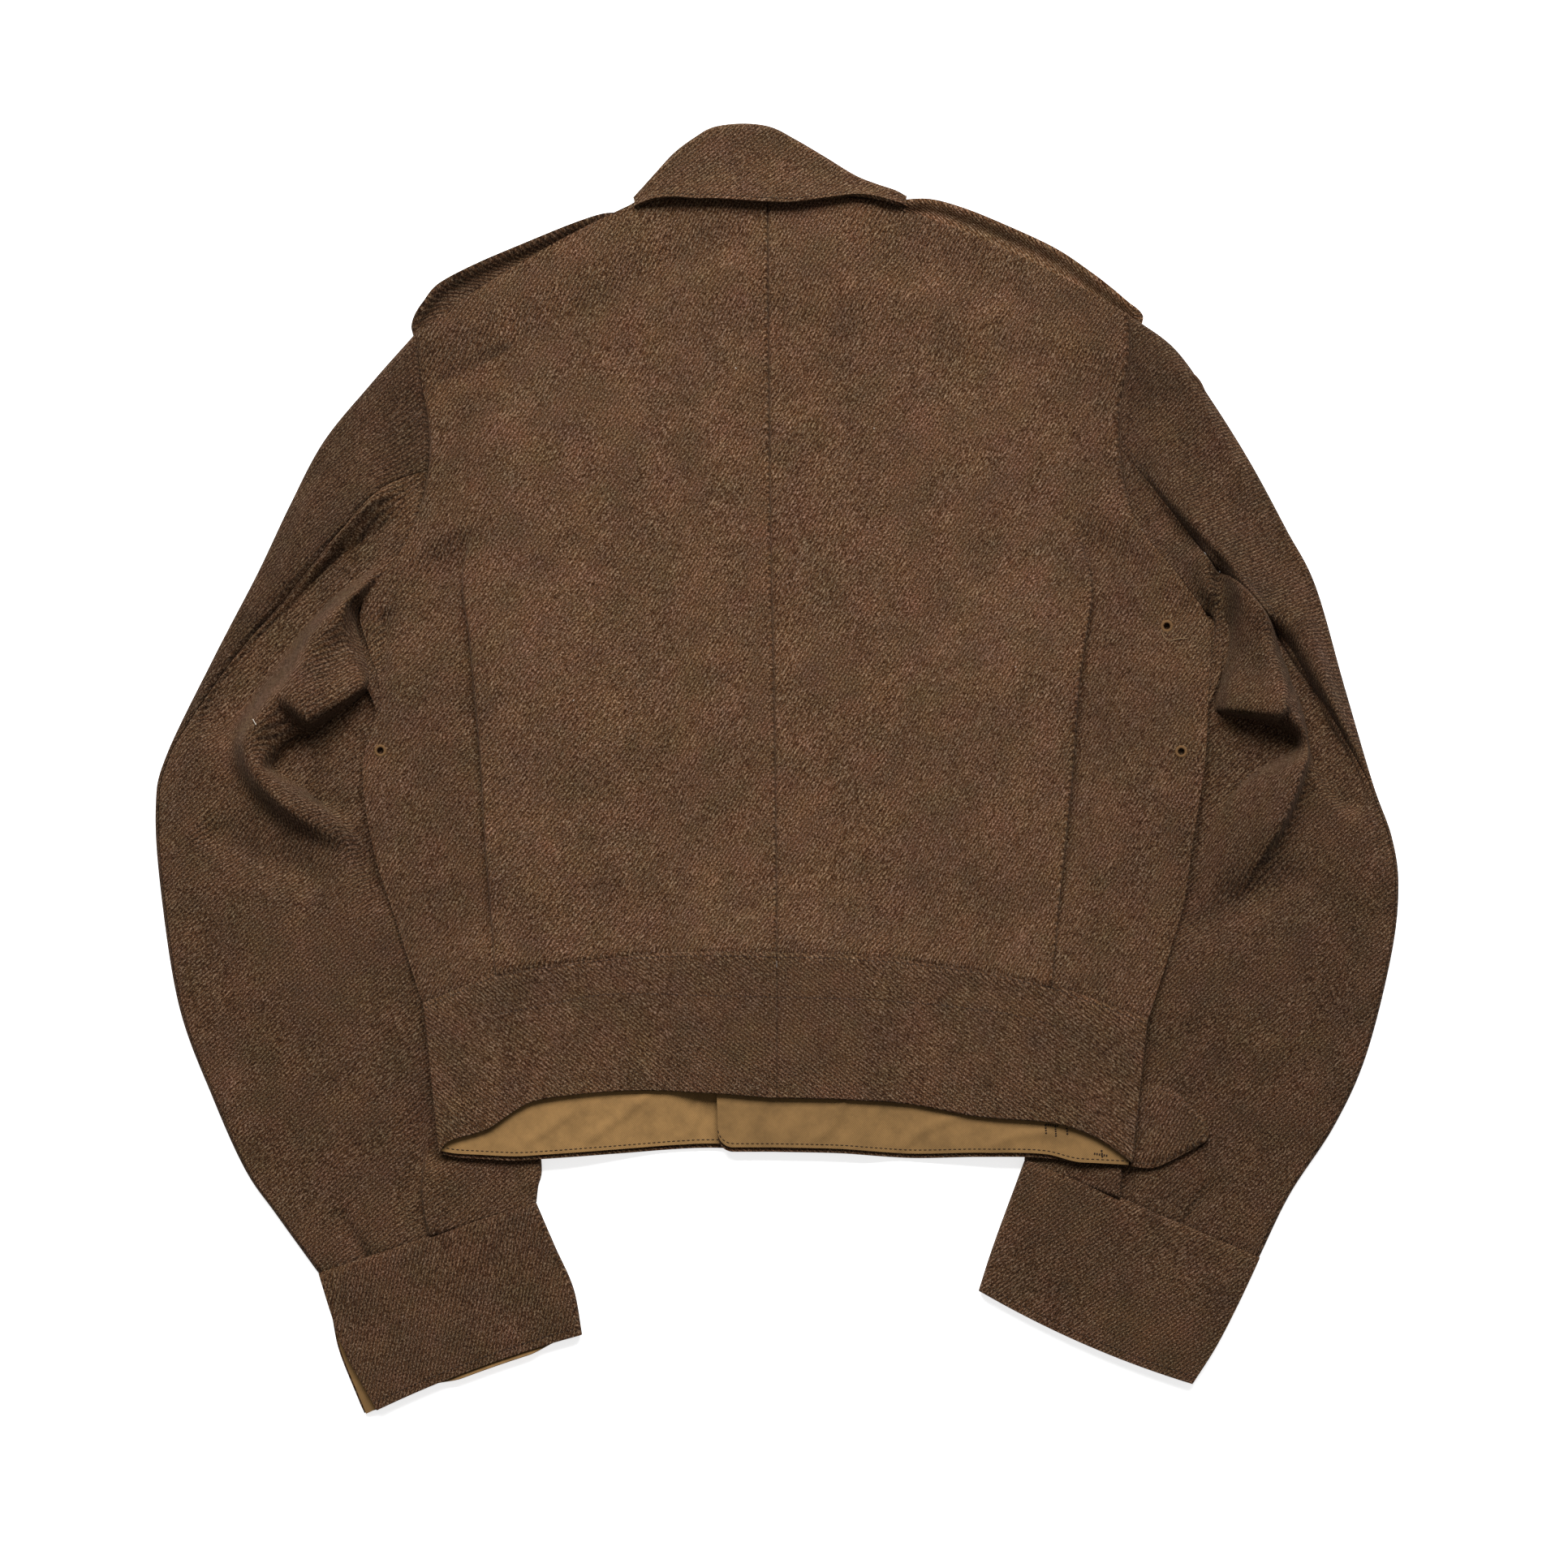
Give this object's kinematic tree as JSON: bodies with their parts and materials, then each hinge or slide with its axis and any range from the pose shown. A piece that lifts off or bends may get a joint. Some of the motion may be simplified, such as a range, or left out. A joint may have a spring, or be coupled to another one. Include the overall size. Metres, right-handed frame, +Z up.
{
  "type": "battle dress jacket",
  "caption": "Short wool battle dress jacket lying flat and face down: pleated back with a centre seam, fold-over collar, shoulder straps, waistband with tab, sleeves bent at its sides.",
  "frame": {"origin": "centre of the bounding box on the surface the jacket lies on", "axes": "+Z up from the surface, through the back of the jacket; +Y towards the collar; +X towards the wearer's right sleeve"},
  "size_m": [0.7339, 0.759, 0.0277],
  "materials": {
    "serge": "matt napped wool twill",
    "drill": "matt cotton twill"
  },
  "bodies": {
    "root": {"back_left": "serge", "back_right": "serge", "front_left": "serge", "front_right": "serge", "top_sleeve_left": "serge", "top_sleeve_right": "serge", "under_sleeve_left": "serge", "under_sleeve_right": "serge", "cuff_left": "serge", "cuff_right": "serge", "cuff_lining_left": "drill", "collar": "serge", "collar_front_left": "serge", "collar_front_right": "serge", "shoulder_strap_left": "serge", "shoulder_strap_right": "serge", "waistband_back_left": "serge", "waistband_back_right": "serge", "waistband_front_left": "serge", "waistband_front_right": "serge", "waistband_lining_left": "drill", "waistband_lining_right": "drill", "waist_tab": "serge"}
  },
  "joints": []
}
